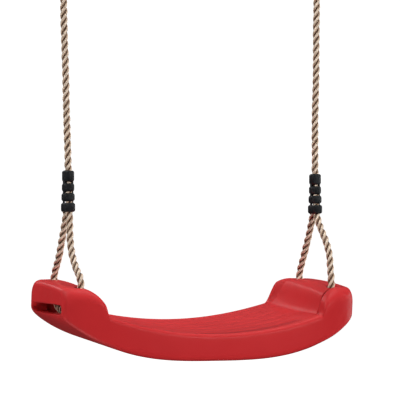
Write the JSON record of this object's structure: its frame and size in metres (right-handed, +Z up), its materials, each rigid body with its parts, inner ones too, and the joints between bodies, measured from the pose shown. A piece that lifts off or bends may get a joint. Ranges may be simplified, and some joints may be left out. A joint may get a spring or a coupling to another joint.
{
  "type": "hanging playground swing seat",
  "caption": "Curved hollow plastic swing seat hung from steel rings on twisted ropes, each looped through an end block and closed by ribbed clamps.",
  "frame": {"origin": "midway between the centres of the two top rings, where the swing hangs", "axes": "+X along the seat to its right end seen from the front, -Y to the seat's front edge, +Z up"},
  "size_m": [0.4276, 0.1803, 0.6638],
  "materials": {
    "seat_plastic": "satin blow-moulded polyethylene",
    "rope_fibre": "three-strand twisted rope",
    "clamp_plastic": "matt moulded nylon",
    "zinc_steel": "zinc-plated"
  },
  "bodies": {
    "hanger": {"left_ring": "zinc_steel", "right_ring": "zinc_steel"},
    "rope_eyes": {"left_eye": "rope_fibre", "right_eye": "rope_fibre", "left_thimble": "zinc_steel", "right_thimble": "zinc_steel", "left_upper_clamp": "clamp_plastic", "right_upper_clamp": "clamp_plastic"},
    "left_line": {"left_rope": "rope_fibre", "left_lower_clamp": "clamp_plastic"},
    "seat_body": {"seat": "seat_plastic", "left_bight": "rope_fibre", "right_bight": "rope_fibre"},
    "right_line": {"right_rope": "rope_fibre", "right_lower_clamp": "clamp_plastic"}
  },
  "joints": [
    {"name": "swing", "type": "hinge", "parent": "hanger", "child": "rope_eyes", "pos_m": [0, 0, -0.022], "axis": [1, 0, 0], "range_deg": [-45, 45]},
    {"name": "sway", "type": "hinge", "parent": "rope_eyes", "child": "left_line", "pos_m": [-0.186, 0, -0.1335], "axis": [0, 1, 0], "range_deg": [-15, 15]},
    {"name": "seat_level", "type": "hinge", "parent": "left_line", "child": "seat_body", "pos_m": [-0.186, 0, -0.5335], "axis": [0, 1, 0], "range_deg": [-15, 15]},
    {"name": "right_rope_hang", "type": "hinge", "parent": "seat_body", "child": "right_line", "pos_m": [0.186, 0, -0.5335], "axis": [0, 1, 0], "range_deg": [-15, 15]}
  ],
  "couplings": [
    {"joint": "seat_level", "follows": "sway", "ratio": -1},
    {"joint": "right_rope_hang", "follows": "sway", "ratio": 1}
  ]
}
